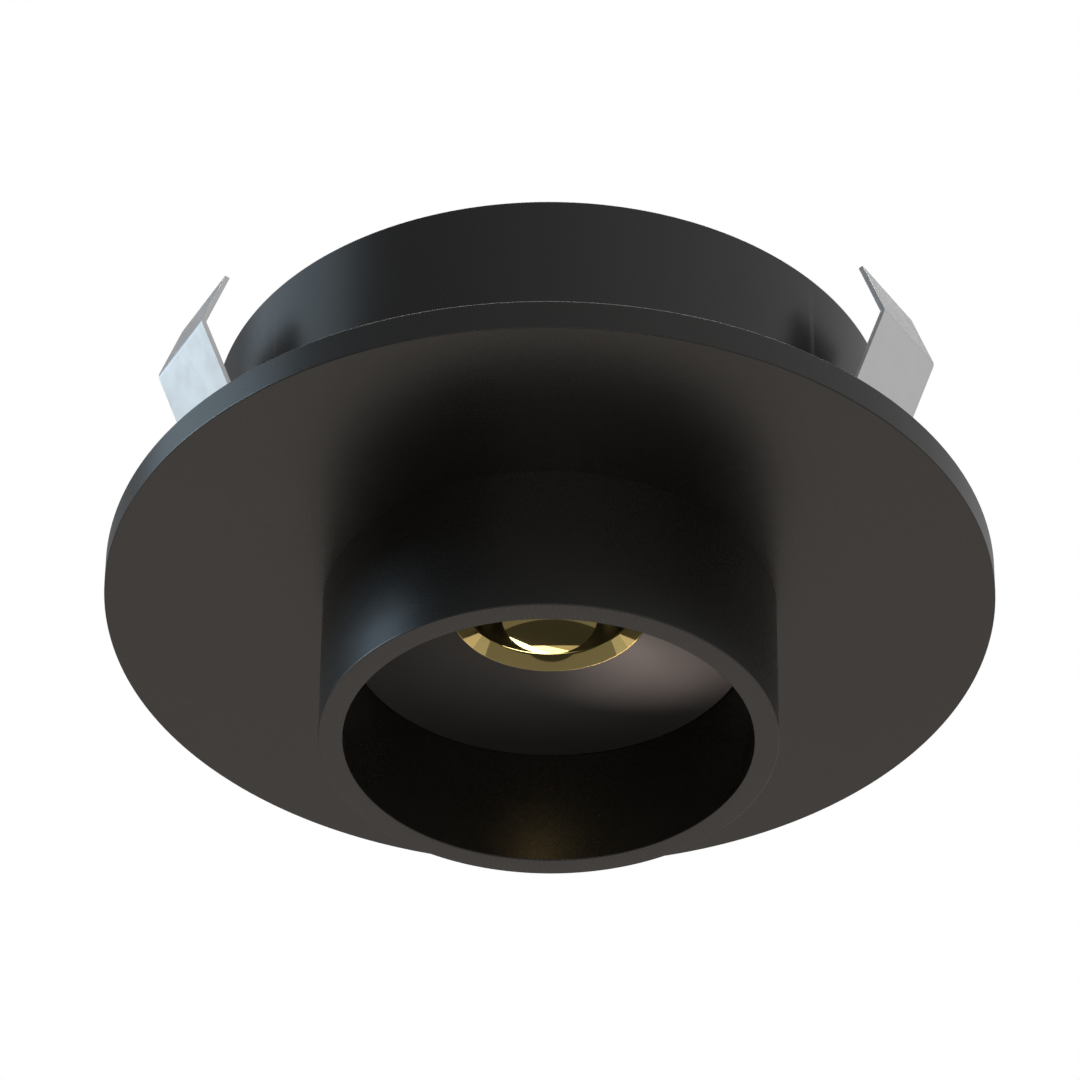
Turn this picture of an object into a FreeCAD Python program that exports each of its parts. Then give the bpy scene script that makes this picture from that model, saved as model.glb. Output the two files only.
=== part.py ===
import FreeCAD, Part
import math
import os

# Recessed soffit downlight. Millimetres, +Z up.
# The origin is the centre of the ceiling plane, the top face of the foam gasket.
# Everything above z = 0 stands in the soffit void, everything below shows in the room.

# ---------------------------------------------------------------- driving sizes
# soffit and trim
cutout_radius = 45.0
trim_overlap = 6.0
flange_thickness = 3.7
snoot_bore_radius = 23.2
snoot_wall = 2.8
snoot_drop = 18.55
edge_break = 0.25
gasket_thickness = 1.0
gasket_width = 3.5
gasket_inset = 1.5

# reflector and baffle
mouth_radius = 9.8
mouth_bevel_width = 1.5
mouth_bevel_height = 1.08
mouth_tilt = 32.5
bowl_radius = 12.0
throat_radius = 4.6
throat_land = 0.6
reflector_wall = 0.9
reflector_proud = 0.15
reflector_shoulder = 1.5
collar_width = 3.6
baffle_drop = 3.7
baffle_wall = 1.2
baffle_rim_width = 2.1
baffle_seat_play = 0.2

# lamp stack, upwards from the reflector
glass_seal_thickness = 0.7
glass_seal_inset = 1.0
glass_radius = 10.0
glass_thickness = 1.5
aperture_web = 1.0
aperture_play = 0.4
aperture_taper = 1.0
emitter_radius = 3.3
emitter_thickness = 0.4
board_side = 13.5
board_thickness = 1.0
pad_thickness = 0.4
holder_radius = 16.0

# housing can and rear cover
can_radius = 39.4
skirt_wall = 2.4
chamber_wall = 3.4
rebate_wall = 1.4
corner_blend = 1.0
web_thickness = 4.0
chamber_height = 10.67
cover_gasket_thickness = 0.8
cover_thickness = 2.0
spigot_wall = 2.4
spigot_height = 3.6
ring_section = 1.5
ring_groove_play = 0.3
pillar_radius = 3.4
cover_boss_radius = 3.2
boss_sink = 0.4

# spring clips, angles in degrees
clip_count = 3
clip_strip = 0.6
clip_width = 11.5
clip_root_radius = 0.8
clip_root_height = 2.35
clip_catch = 2.9
clip_bend_height = 15.5
clip_bend_radius = 0.4
clip_tip_setback = 2.7
clip_tip_rise = 7.7
clip_foot_height = 8.1
clip_seat_depth = 0.5
clip_seat_margin = 0.4
clip_split_gap = 0.3
clip_split_angle = 250.0
clip_corner_radius = 2.0

# cable gland
gland_thread_radius = 6.0
gland_flats = 15.0
gland_ring_thickness = 0.75
gland_ring_inset = 0.3
gland_hex_height = 5.0
gland_neck_height = 5.5
gland_neck_relief = 0.2
gland_thread_proud = 0.8
gland_nut_height = 2.8
cable_radius = 3.2
cable_passage = 3.6
insert_wall = 1.6
insert_height = 7.0
insert_proud = 1.5
insert_taper = 1.0
insert_taper_height = 1.2
cap_gap = 0.5
cap_height = 9.6
cap_crown_height = 3.84
cap_crown_inset = 0.6
cap_crown_round = 3.0

# terminal block and leads
terminal_end = 4.5
terminal_depth = 9.0
terminal_height = 8.8
terminal_pitch = 8.0
terminal_wall = 0.8
terminal_stand_off = 0.6
barrel_radius = 2.0
barrel_bore = 1.0
lead_entry_play = 0.3
lead_radius = 0.75
lead_height = 5.3
lead_bend = 2.6
lead_upper_bend = 3.0
lead_grip = 3.0
lead_reach = 4.0
grommet_wall = 1.25
grommet_lip = 1.0
clamp_screw_sink = 0.5
clamp_slot_width = 0.5
clamp_slot_depth = 0.7
fixing_screw_sink = 1.0

# screws: thread radius, head radius and head height of each size, then how deep they bite
m3 = (1.5, 2.75, 1.8)
m25 = (1.25, 2.2, 1.5)
thread_chamfer = 0.3
body_screw_bite = 5.0
cover_screw_bite = 5.0
web_screw_bite = 2.4
clip_screw_bite = 6.4
tap_allowance = 0.6

# pan head with a hexagon socket, as shares of the head's height and radius and of the thread's radius
head_side = 0.45
head_crown = 0.72
socket_floor = 0.4
socket_flats = 1.7

# fits between pieces
slip = 0.1
seal_gap = 0.02
screw_clearance = 0.2

# how far a cutting tool runs past the face that it leaves
overrun = 1.0

# ---------------------------------------------------------------- levels and radii
flange_radius = cutout_radius + trim_overlap
snoot_radius = snoot_bore_radius + snoot_wall
flange_top = -gasket_thickness
flange_under = flange_top - flange_thickness
snoot_rim = flange_under - snoot_drop
spigot_top = flange_top + spigot_height

baffle_lip = flange_under - baffle_drop
baffle_radius = snoot_bore_radius - slip
baffle_rim_radius = baffle_radius + baffle_rim_width
baffle_hole_radius = mouth_radius + mouth_bevel_width + slip

mouth_low = flange_under - reflector_proud
mouth_top = mouth_low + mouth_bevel_height
bowl_centre_r = mouth_radius - bowl_radius * math.cos(math.radians(mouth_tilt))
bowl_centre_z = mouth_top - bowl_radius * math.sin(math.radians(mouth_tilt))
throat_z = bowl_centre_z + math.sqrt(bowl_radius ** 2 - (throat_radius - bowl_centre_r) ** 2)
reflector_top = throat_z + throat_land
reflector_collar = throat_radius + collar_width
shoulder_bottom = flange_under + baffle_wall
shoulder_radius = mouth_radius + mouth_bevel_width + reflector_shoulder

glass_bottom = reflector_top + glass_seal_thickness
glass_top = glass_bottom + glass_thickness
board_bottom = glass_top + aperture_web
board_top = board_bottom + board_thickness
web_bottom = board_top + pad_thickness
web_top = web_bottom + web_thickness
ledge = web_top + chamber_height
cover_bottom = ledge + cover_gasket_thickness
can_top = cover_bottom + cover_thickness

skirt_radius = can_radius - skirt_wall
chamber_radius = can_radius - chamber_wall
rebate_radius = can_radius - rebate_wall
spigot_radius = skirt_radius - slip
spigot_inner = spigot_radius - spigot_wall
pillar_circle = (baffle_rim_radius + spigot_inner) / 2
cover_screw_circle = chamber_radius - cover_boss_radius + boss_sink
holder_screw_x = (glass_radius + slip + holder_radius) / 2

clip_seat = can_radius - clip_seat_depth
clip_screw_z = (web_bottom + web_top) / 2
clip_top = clip_root_height + clip_foot_height
clip_azimuths = [90 + 360 / clip_count * i for i in range(clip_count)]
body_screw_azimuths = [azimuth - 180 / clip_count for azimuth in clip_azimuths]
cover_screw_azimuths = clip_azimuths

gland_base = can_top + gland_ring_thickness
gland_hex_top = gland_base + gland_hex_height
gland_neck_top = gland_hex_top + gland_neck_height
gland_neck_radius = gland_thread_radius - gland_neck_relief
gland_seat_radius = cable_radius + insert_wall
lock_nut_bottom = cover_bottom - gland_nut_height
insert_top = gland_neck_top + insert_proud
insert_bottom = insert_top - insert_height

block_near = gland_flats / 2 / math.cos(math.radians(30)) + terminal_stand_off
block_far = block_near + terminal_depth
block_middle = (block_near + block_far) / 2
block_top = web_top + terminal_height
lead_level = web_top + lead_height
terminal_width = terminal_pitch + 2 * terminal_end
clamp_rows = (block_middle - terminal_depth / 4, block_middle + terminal_depth / 4)
way_offsets = (-terminal_pitch / 2, terminal_pitch / 2)
grommet_y = block_far + 2 * lead_upper_bend
grommet_radius = lead_radius + grommet_wall
holder_port_z = web_bottom - lead_bend
holder_port_y = holder_radius - lead_grip

origin = FreeCAD.Vector(0, 0, 0)
x_axis = FreeCAD.Vector(1, 0, 0)
y_axis = FreeCAD.Vector(0, 1, 0)
z_axis = FreeCAD.Vector(0, 0, 1)
bevel, rounded = "bevel", "rounded"


# ---------------------------------------------------------------- helpers
def point(r, z):
    return FreeCAD.Vector(r, 0, z)


def closed_wire(corners):
    """Closed outline in the XZ plane. A corner is (r, z), or (r, z, size, form) for a bevel or a rounding."""
    stretches = []
    for i, corner in enumerate(corners):
        here = point(*corner[:2])
        if len(corner) == 2:
            stretches.append((here, None, here))
            continue
        size, form = corner[2:]
        back = (point(*corners[i - 1][:2]) - here).normalize()
        ahead = (point(*corners[(i + 1) % len(corners)][:2]) - here).normalize()
        if form == bevel:
            stretches.append((here + back * size, None, here + ahead * size))
            continue
        half = back.getAngle(ahead) / 2
        reach = size / math.tan(half)
        middle = here + (back + ahead).normalize() * (size / math.sin(half) - size)
        stretches.append((here + back * reach, middle, here + ahead * reach))
    edges = []
    for i, (start, middle, end) in enumerate(stretches):
        if middle is not None:
            edges.append(Part.Arc(start, middle, end).toShape())
        elif start != end:
            edges.append(Part.LineSegment(start, end).toShape())
        edges.append(Part.LineSegment(end, stretches[(i + 1) % len(stretches)][0]).toShape())
    return Part.Wire(edges)


def turned(corners):
    return Part.Face(closed_wire(corners)).revolve(origin, z_axis, 360)


def ring(inner, outer, low, high):
    return turned([(inner, low), (outer, low), (outer, high), (inner, high)])


def rod(radius, low, high, x=0.0, y=0.0):
    return Part.makeCylinder(radius, high - low, FreeCAD.Vector(x, y, low))


def tunnel(radius, x, y_low, y_high, level):
    return Part.makeCylinder(radius, y_high - y_low, FreeCAD.Vector(x, y_low, level), y_axis)


def block(x0, x1, y0, y1, z0, z1):
    return Part.makeBox(x1 - x0, y1 - y0, z1 - z0, FreeCAD.Vector(x0, y0, z0))


def round_about(shape, azimuth):
    copy = shape.copy()
    copy.rotate(origin, z_axis, azimuth)
    return copy


def on_circle(radius, azimuth):
    return radius * math.cos(math.radians(azimuth)), radius * math.sin(math.radians(azimuth))


def hexagon(across_flats, low, high):
    corner = across_flats / 2 / math.cos(math.radians(30))
    corners = [FreeCAD.Vector(*on_circle(corner, 60 * i), low) for i in range(7)]
    return Part.Face(Part.makePolygon(corners)).extrude(z_axis * (high - low))


def nut_hexagon(across_flats, low, high):
    """Hexagonal prism about Z with its upper corners turned off at thirty degrees."""
    corner = across_flats / 2 / math.cos(math.radians(30))
    drop = (corner - across_flats / 2) * math.tan(math.radians(30))
    envelope = turned([(0, low), (corner, low), (corner, high - drop), (across_flats / 2, high), (0, high)])
    return hexagon(across_flats, low, high).common(envelope)


def screw(size, length, under_head, x=0.0, y=0.0, up=False):
    """Pan-head screw whose head sits on the level under_head. up: the shank points up."""
    shank, head, height = size
    body = turned([
        (0, -length), (shank, -length, thread_chamfer, bevel), (shank, 0),
        (head, 0), (head, height * head_side), (head * head_crown, height), (0, height),
    ])
    body = body.cut(hexagon(shank * socket_flats, height * socket_floor, height))
    if up:
        body.rotate(origin, x_axis, 180)
    body.translate(FreeCAD.Vector(x, y, under_head))
    return body


# ---------------------------------------------------------------- trim and optics
def trim_bezel():
    """Flange and snoot in one piece, with the spigot and screw pillars that enter the can."""
    body = turned([
        (snoot_bore_radius, snoot_rim, edge_break, bevel),
        (snoot_radius, snoot_rim, edge_break, bevel),
        (snoot_radius, flange_under),
        (flange_radius, flange_under, edge_break, bevel),
        (flange_radius, flange_top, edge_break, bevel),
        (spigot_radius, flange_top),
        (spigot_radius, spigot_top, edge_break, bevel),
        (spigot_inner, spigot_top, edge_break, bevel),
        (spigot_inner, flange_top),
        (baffle_rim_radius + slip, flange_top),
        (baffle_rim_radius + slip, flange_top - baffle_wall),
        (snoot_bore_radius, flange_top - baffle_wall),
    ])
    groove_floor = skirt_radius - ring_section
    groove_middle = flange_top + spigot_height / 2
    groove_half = (ring_section + ring_groove_play) / 2
    groove = ring(groove_floor, skirt_radius, groove_middle - groove_half, groove_middle + groove_half)
    body = body.cut(groove)
    tap_bottom = web_bottom - body_screw_bite - tap_allowance
    for azimuth in body_screw_azimuths:
        x, y = on_circle(pillar_circle, azimuth)
        body = body.fuse(rod(pillar_radius, flange_top, web_bottom, x, y))
    for azimuth in body_screw_azimuths:
        x, y = on_circle(pillar_circle, azimuth)
        body = body.cut(rod(m3[0] + seal_gap, tap_bottom, web_bottom + overrun, x, y))
    return body.removeSplitter()


def ceiling_gasket():
    outer = flange_radius - gasket_inset
    return ring(outer - gasket_width, outer, flange_top, 0)


def anti_glare_baffle():
    """Shallow cone between snoot bore and reflector, with a skirt and a rim that drops in from above."""
    slope = (flange_under - baffle_lip) / (baffle_radius - baffle_hole_radius)
    back_lift = baffle_wall * math.sqrt(1 + slope ** 2)
    seat = shoulder_radius + baffle_seat_play
    skirt_inner = baffle_radius - baffle_wall
    return turned([
        (baffle_radius, baffle_lip),
        (baffle_radius, flange_top - baffle_wall),
        (baffle_rim_radius, flange_top - baffle_wall),
        (baffle_rim_radius, flange_top, edge_break, bevel),
        (skirt_inner, flange_top, edge_break, bevel),
        (skirt_inner, baffle_lip + slope * baffle_wall + back_lift),
        (seat, baffle_lip + slope * (baffle_radius - seat) + back_lift),
        (seat, shoulder_bottom),
        (baffle_hole_radius, shoulder_bottom),
        (baffle_hole_radius, flange_under),
    ])


def reflector_cup():
    """Spun mirror: bevelled mouth, circular-arc bowl, short throat and a collar under the glass seal."""
    outer_bowl = bowl_radius + reflector_wall
    shoulder_top = shoulder_bottom + reflector_wall
    lip = mouth_radius + mouth_bevel_width

    def bowl_arc(radius, start, end):
        """Arc about the bowl's centre between two angles."""
        spots = [
            point(bowl_centre_r + radius * math.cos(angle), bowl_centre_z + radius * math.sin(angle))
            for angle in (start, (start + end) / 2, end)
        ]
        return Part.Arc(*spots).toShape(), spots[0], spots[-1]

    throat_angle = math.acos((throat_radius - bowl_centre_r) / bowl_radius)
    shoulder_angle = math.asin((shoulder_top - bowl_centre_z) / outer_bowl)
    collar_angle = math.acos((reflector_collar - bowl_centre_r) / outer_bowl)
    inside, mouth, throat = bowl_arc(bowl_radius, math.radians(mouth_tilt), throat_angle)
    outside, outside_low, outside_high = bowl_arc(outer_bowl, shoulder_angle, collar_angle)
    rim_run = [
        outside_low, point(shoulder_radius, shoulder_top), point(shoulder_radius, shoulder_bottom),
        point(lip, shoulder_bottom), point(lip, mouth_low), mouth,
    ]
    collar_run = [
        throat, point(throat_radius, reflector_top), point(reflector_collar, reflector_top), outside_high,
    ]
    edges = [inside, outside]
    for run in (rim_run, collar_run):
        edges += [Part.LineSegment(start, end).toShape() for start, end in zip(run, run[1:])]
    outline = Part.Wire(Part.__sortEdges__(edges))
    return Part.Face(outline).revolve(origin, z_axis, 360)


def protective_glass():
    return turned([
        (0, glass_bottom),
        (glass_radius, glass_bottom, edge_break, bevel),
        (glass_radius, glass_top, edge_break, bevel),
        (0, glass_top),
    ])


def glass_seal():
    return ring(throat_radius + glass_seal_inset, reflector_collar, reflector_top, glass_bottom)


def led_emitter():
    return rod(emitter_radius, board_bottom - emitter_thickness, board_bottom)


def led_board():
    half = board_side / 2
    return block(-half, half, -half, half, board_bottom, board_top)


def thermal_pad():
    half = board_side / 2
    return block(-half, half, -half, half, board_top, web_bottom)


def led_holder():
    """Moulded ring that presses the board to the web and keeps the glass."""
    aperture = emitter_radius + aperture_play
    pocket = board_side / 2 + slip
    head_pocket_top = glass_bottom + m25[2]
    body = turned([
        (aperture, board_bottom),
        (aperture + aperture_taper, glass_top),
        (glass_radius + slip, glass_top),
        (glass_radius + slip, glass_bottom),
        (holder_radius, glass_bottom, edge_break, bevel),
        (holder_radius, web_bottom, edge_break, bevel),
        (aperture, web_bottom),
    ])
    body = body.cut(block(-pocket, pocket, -pocket, pocket, board_bottom, web_bottom + overrun))
    for x in (-holder_screw_x, holder_screw_x):
        body = body.cut(rod(m25[0] + screw_clearance, glass_bottom - overrun, web_bottom + overrun, x))
        body = body.cut(rod(m25[1] + screw_clearance, glass_bottom - overrun, head_pocket_top, x))
    for x in way_offsets:
        port = tunnel(lead_radius + seal_gap, x, holder_port_y, holder_radius + overrun, holder_port_z)
        body = body.cut(port)
    return body


def holder_screws():
    under_head = glass_bottom + m25[2]
    length = web_bottom - under_head + web_screw_bite
    return Part.makeCompound([
        screw(m25, length, under_head, x, 0, True) for x in (-holder_screw_x, holder_screw_x)
    ])


# ---------------------------------------------------------------- can and rear cover
def housing_can():
    """Turned can: skirt below, web that carries the lamp, wiring chamber above."""
    body = turned([
        (skirt_radius, flange_top),
        (can_radius, flange_top),
        (can_radius, can_top, edge_break, bevel),
        (rebate_radius, can_top),
        (rebate_radius, ledge),
        (chamber_radius, ledge),
        (chamber_radius, web_top, corner_blend, bevel),
        (0, web_top),
        (0, web_bottom),
        (skirt_radius, web_bottom, corner_blend, bevel),
    ])
    web_tap = web_screw_bite + tap_allowance
    for azimuth in cover_screw_azimuths:
        x, y = on_circle(cover_screw_circle, azimuth)
        body = body.fuse(rod(cover_boss_radius, web_top, ledge, x, y))
    for azimuth in cover_screw_azimuths:
        x, y = on_circle(cover_screw_circle, azimuth)
        tap = rod(m25[0] + seal_gap, ledge - cover_screw_bite - tap_allowance, ledge + overrun, x, y)
        body = body.cut(tap)
    for azimuth in body_screw_azimuths:
        x, y = on_circle(pillar_circle, azimuth)
        body = body.cut(rod(m3[0] + screw_clearance, web_bottom - overrun, web_top + overrun, x, y))
    for x in (-holder_screw_x, holder_screw_x):
        body = body.cut(rod(m25[0] + seal_gap, web_bottom - overrun, web_bottom + web_tap, x))
    for x in way_offsets:
        body = body.cut(rod(grommet_radius, web_bottom - overrun, web_top + overrun, x, grommet_y))
    body = body.cut(rod(m25[0] + seal_gap, web_top - web_tap, web_top + overrun, 0, block_middle))
    seat = block(
        clip_seat, can_radius + overrun, -can_radius, can_radius,
        flange_top - overrun, clip_top + clip_seat_margin,
    )
    clip_tap = Part.makeCylinder(
        m3[0] + seal_gap, clip_screw_bite + tap_allowance + overrun,
        point(clip_seat + overrun, clip_screw_z), -x_axis,
    )
    for azimuth in clip_azimuths:
        body = body.cut(round_about(seat, azimuth)).cut(round_about(clip_tap, azimuth))
    return body.removeSplitter()


def housing_seal():
    middle = point(0, flange_top + spigot_height / 2)
    return Part.makeTorus(skirt_radius - ring_section / 2, ring_section / 2 - seal_gap, middle, z_axis)


def body_screws():
    return Part.makeCompound([
        screw(m3, web_thickness + body_screw_bite, web_top, *on_circle(pillar_circle, azimuth))
        for azimuth in body_screw_azimuths
    ])


def rear_cover():
    hole = gland_thread_radius + slip
    body = turned([
        (hole, cover_bottom),
        (rebate_radius - slip, cover_bottom),
        (rebate_radius - slip, can_top, edge_break, bevel),
        (hole, can_top),
    ])
    for azimuth in cover_screw_azimuths:
        x, y = on_circle(cover_screw_circle, azimuth)
        body = body.cut(rod(m25[0] + screw_clearance, cover_bottom - overrun, can_top + overrun, x, y))
    return body


def cover_gasket():
    """Flat gasket with an eye round each cover screw."""
    body = ring(chamber_radius + slip, rebate_radius - slip, ledge, cover_bottom)
    for azimuth in cover_screw_azimuths:
        x, y = on_circle(cover_screw_circle, azimuth)
        body = body.fuse(rod(cover_boss_radius - slip, ledge, cover_bottom, x, y))
    for azimuth in cover_screw_azimuths:
        x, y = on_circle(cover_screw_circle, azimuth)
        body = body.cut(rod(m25[0] + screw_clearance, ledge - overrun, cover_bottom + overrun, x, y))
    return body.removeSplitter()


def cover_screws():
    length = cover_thickness + cover_gasket_thickness + cover_screw_bite
    return Part.makeCompound([
        screw(m25, length, can_top, *on_circle(cover_screw_circle, azimuth))
        for azimuth in cover_screw_azimuths
    ])


# ---------------------------------------------------------------- wiring
def lead(x):
    """Insulated lead: out of the lamp holder, up through the web and into the terminal block."""
    short = 1 - math.sqrt(0.5)
    lower_end = grommet_y - lead_bend
    upper_start = lead_level - lead_upper_bend
    upper_end = grommet_y - lead_upper_bend
    start, turn_up, up_middle, risen, turn_in, in_middle, level, end = [
        FreeCAD.Vector(x, y, z) for y, z in (
            (holder_port_y, holder_port_z),
            (lower_end, holder_port_z),
            (grommet_y - lead_bend * short, holder_port_z + lead_bend * short),
            (grommet_y, web_bottom),
            (grommet_y, upper_start),
            (grommet_y - lead_upper_bend * short, lead_level - lead_upper_bend * short),
            (upper_end, lead_level),
            (block_far - lead_reach, lead_level),
        )
    ]
    path = Part.Wire([
        Part.LineSegment(start, turn_up).toShape(),
        Part.Arc(turn_up, up_middle, risen).toShape(),
        Part.LineSegment(risen, turn_in).toShape(),
        Part.Arc(turn_in, in_middle, level).toShape(),
        Part.LineSegment(level, end).toShape(),
    ])
    profile = Part.Wire([Part.makeCircle(lead_radius, start, y_axis)])
    return path.makePipeShell([profile], True, False)


def lead_grommets():
    """Rubber bushes in the web, one round each lead, with a lip above the web."""
    bore = lead_radius + seal_gap
    outer = grommet_radius - seal_gap
    lip = grommet_radius + grommet_lip
    bush = turned([
        (bore, web_bottom), (outer, web_bottom), (outer, web_top), (lip, web_top),
        (lip, web_top + grommet_lip, edge_break, bevel), (bore, web_top + grommet_lip),
    ])
    return Part.makeCompound([bush.translated(FreeCAD.Vector(x, grommet_y, 0)) for x in way_offsets])


def terminal_block():
    """Two-way block: lead holes on both long sides, screw wells on top, fixing hole between the ways."""
    half = terminal_width / 2
    head_floor = block_top - m25[2] - fixing_screw_sink
    body = block(-half, half, block_near, block_far, web_top, block_top)
    body = body.cut(rod(m25[0] + screw_clearance, web_top - overrun, block_top + overrun, 0, block_middle))
    body = body.cut(rod(m25[1] + screw_clearance, head_floor, block_top + overrun, 0, block_middle))
    for x in way_offsets:
        body = body.cut(tunnel(
            barrel_bore + lead_entry_play, x, block_near - overrun, block_far + overrun, lead_level
        ))
        body = body.cut(tunnel(
            barrel_radius + seal_gap, x, block_near + terminal_wall, block_far - terminal_wall, lead_level
        ))
        for y in clamp_rows:
            body = body.cut(rod(m25[0] + screw_clearance, lead_level, block_top + overrun, x, y))
    return body


def terminal_barrels():
    low = block_near + terminal_wall + seal_gap
    high = block_far - terminal_wall - seal_gap
    barrels = []
    for x in way_offsets:
        barrel = tunnel(barrel_radius, x, low, high, lead_level)
        barrel = barrel.cut(tunnel(barrel_bore, x, low - overrun, high + overrun, lead_level))
        for y in clamp_rows:
            barrel = barrel.cut(rod(m25[0] + seal_gap, lead_level, lead_level + 2 * barrel_radius, x, y))
        barrels.append(barrel)
    return Part.makeCompound(barrels)


def terminal_screws():
    """Headless clamp screws with a slot, screwed down on the leads."""
    low = lead_level + lead_radius + seal_gap
    high = block_top - clamp_screw_sink
    screws = []
    for x in way_offsets:
        slot = block(
            x - clamp_slot_width / 2, x + clamp_slot_width / 2, block_near, block_far,
            high - clamp_slot_depth, high + overrun,
        )
        screws += [rod(m25[0], low, high, x, y).cut(slot) for y in clamp_rows]
    return Part.makeCompound(screws)


def terminal_fixing_screw():
    under_head = block_top - m25[2] - fixing_screw_sink
    return screw(m25, under_head - web_top + web_screw_bite, under_head, 0, block_middle)


# ---------------------------------------------------------------- cable gland
def gland_body():
    """Hexagon body with a thread through the cover below and a neck for the cap above."""
    thread_bottom = lock_nut_bottom - gland_thread_proud
    body = nut_hexagon(gland_flats, gland_base, gland_hex_top)
    body = body.fuse(rod(gland_thread_radius, thread_bottom, gland_base))
    body = body.fuse(rod(gland_neck_radius, gland_hex_top, gland_neck_top))
    body = body.cut(rod(cable_passage, thread_bottom - overrun, gland_neck_top + overrun))
    body = body.cut(rod(gland_seat_radius, insert_bottom, gland_neck_top + overrun))
    return body.removeSplitter()


def gland_ring():
    return ring(gland_thread_radius + slip, gland_flats / 2 - gland_ring_inset, can_top, gland_base)


def gland_lock_nut():
    nut = hexagon(gland_flats, lock_nut_bottom, cover_bottom)
    return nut.cut(rod(gland_thread_radius + seal_gap, lock_nut_bottom - overrun, cover_bottom + overrun))


def gland_insert():
    """Rubber insert that the cap squeezes round the supply cable."""
    outer = gland_seat_radius - seal_gap
    return turned([
        (cable_radius, insert_bottom), (outer, insert_bottom), (outer, insert_top - insert_taper_height),
        (outer - insert_taper, insert_top), (cable_radius, insert_top),
    ])


def gland_cap():
    """Dome nut: hexagonal skirt, rounded crown, thread for the neck and a cone that squeezes the insert."""
    low = gland_hex_top + cap_gap
    high = low + cap_height
    crown_bottom = high - cap_crown_height
    crown_radius = gland_flats / 2 - cap_crown_inset
    thread = gland_neck_radius + seal_gap
    squeeze = gland_seat_radius - insert_taper + seal_gap
    body = nut_hexagon(gland_flats, low, crown_bottom)
    crown = turned([
        (0, crown_bottom - overrun), (crown_radius, crown_bottom - overrun),
        (crown_radius, high, cap_crown_round, rounded), (0, high),
    ])
    inside = turned([
        (0, low - overrun), (thread, low - overrun), (thread, gland_neck_top + screw_clearance),
        (squeeze, insert_top + seal_gap), (0, insert_top + seal_gap),
    ])
    body = body.fuse(crown).cut(inside)
    return body.cut(rod(cable_passage, low - overrun, high + overrun)).removeSplitter()


# ---------------------------------------------------------------- spring clips
def clip_section():
    """The bent strip in its own radial plane: centre of the root bend, outer bend, and the leaf's lean."""
    outer = clip_root_radius + clip_strip
    centre = point(clip_seat + outer, clip_root_height)
    bend = point(cutout_radius + clip_catch, clip_bend_height)
    reach = bend - centre
    lean = math.atan2(reach.x, reach.z) - math.asin(outer / reach.Length)
    return centre, bend, lean


def strip(outline):
    """Extrudes a section in the radial plane over the width of the strip."""
    return Part.Face(outline).extrude(y_axis * clip_width).translated(-y_axis * (clip_width / 2))


def root_bend(start, end):
    """Part of the strip bent round the root, between two angles in the radial plane."""
    centre = clip_section()[0]

    def at(radius, angle):
        return centre + point(radius * math.cos(angle), radius * math.sin(angle))

    inner = clip_root_radius
    outer = clip_root_radius + clip_strip
    middle = (start + end) / 2
    return strip(Part.Wire([
        Part.Arc(at(outer, start), at(outer, middle), at(outer, end)).toShape(),
        Part.LineSegment(at(outer, end), at(inner, end)).toShape(),
        Part.Arc(at(inner, end), at(inner, middle), at(inner, start)).toShape(),
        Part.LineSegment(at(inner, start), at(outer, start)).toShape(),
    ]))


def clip_foot():
    """Fixed end: flat leg screwed to the seat on the can, and the first half of the root bend."""
    half = clip_width / 2
    leg = block(clip_seat, clip_seat + clip_strip, -half, half, clip_root_height, clip_top)
    top_corners = [
        edge for edge in leg.Edges
        if edge.BoundBox.ZMin > clip_root_height and edge.BoundBox.XLength > clip_strip / 2
        and edge.BoundBox.YLength < clip_strip
    ]
    hole = Part.makeCylinder(
        m3[0] + screw_clearance, clip_strip + 2 * overrun, point(clip_seat - overrun, clip_screw_z), x_axis
    )
    leg = leg.makeFillet(clip_corner_radius, top_corners).cut(hole)
    return leg.fuse(root_bend(math.pi, math.radians(clip_split_angle))).removeSplitter()


def clip_leaf():
    """Moving end: the rest of the root bend, the leg that leans out and the tip that leans back."""
    centre, bend, lean = clip_section()
    along = point(math.sin(lean), math.cos(lean))
    outward = point(math.cos(lean), -math.sin(lean))
    tip = bend + point(-clip_tip_setback, clip_tip_rise)
    tip_along = (tip - bend).normalize()
    tip_inward = point(-tip_along.z, tip_along.x)
    turn = along.getAngle(tip_along)
    root = centre + outward * (clip_root_radius + clip_strip)
    root_inside = centre + outward * clip_root_radius
    bend_inside = bend - outward * clip_strip - along * (clip_strip * math.tan(turn / 2))
    tip_inside = tip + tip_inward * clip_strip
    outline = closed_wire([
        (root.x, root.z),
        (bend.x, bend.z, clip_bend_radius + clip_strip, rounded),
        (tip.x, tip.z),
        (tip_inside.x, tip_inside.z),
        (bend_inside.x, bend_inside.z, clip_bend_radius, rounded),
        (root_inside.x, root_inside.z),
    ])
    split = math.radians(clip_split_angle) + clip_split_gap / clip_root_radius
    return strip(outline).fuse(root_bend(split, 2 * math.pi - lean)).removeSplitter()


def clip_screws():
    """One pan-head screw through the foot of each clip into the web."""
    fastener = screw(m3, clip_strip + clip_screw_bite, 0)
    fastener.rotate(origin, y_axis, 90)
    fastener.translate(point(clip_seat + clip_strip, clip_screw_z))
    return Part.makeCompound([round_about(fastener, azimuth) for azimuth in clip_azimuths])


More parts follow.
